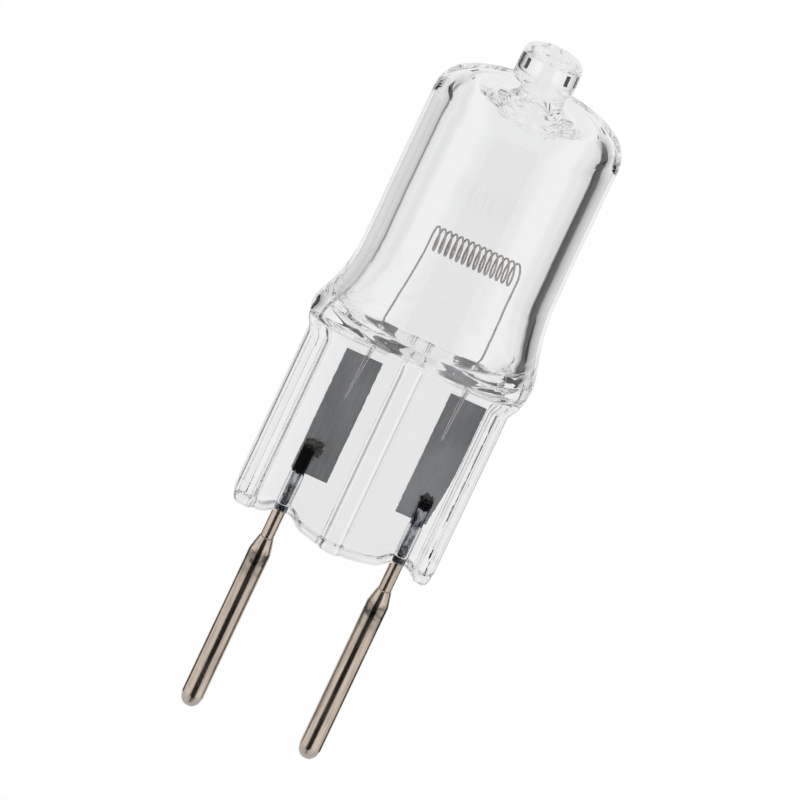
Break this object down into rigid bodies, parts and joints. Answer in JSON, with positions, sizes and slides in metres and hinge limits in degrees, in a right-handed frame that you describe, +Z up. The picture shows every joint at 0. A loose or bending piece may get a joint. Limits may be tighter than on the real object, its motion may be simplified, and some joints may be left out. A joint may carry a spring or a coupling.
{
  "type": "halogen capsule bulb",
  "caption": "Clear quartz halogen capsule with a domed barrel, a ribbed pinch seal over foils, a coiled filament across the bulb and straight contact pins that plug into a lampholder.",
  "frame": {"origin": "midway between the two contact pins, at the height of their tips", "axes": "+Z up the lamp, from the pins to the exhaust tip; X across the flat pinch seal, from pin to pin; Y through the pinch, with the camera's side at -Y"},
  "size_m": [0.0117, 0.01, 0.0384],
  "materials": {
    "quartz": "clear fused quartz",
    "tungsten": "drawn wire, matt grey",
    "foil": "thin rolled foil, satin",
    "lead_wire": "drawn wire, dull",
    "contact_pin": "plated, bright"
  },
  "bodies": {
    "root": {"quartz_envelope": "quartz", "filament": "tungsten", "foil_left": "foil", "foil_right": "foil", "outer_lead_left": "lead_wire", "outer_lead_right": "lead_wire", "contact_pin_left": "contact_pin", "contact_pin_right": "contact_pin"}
  },
  "joints": []
}
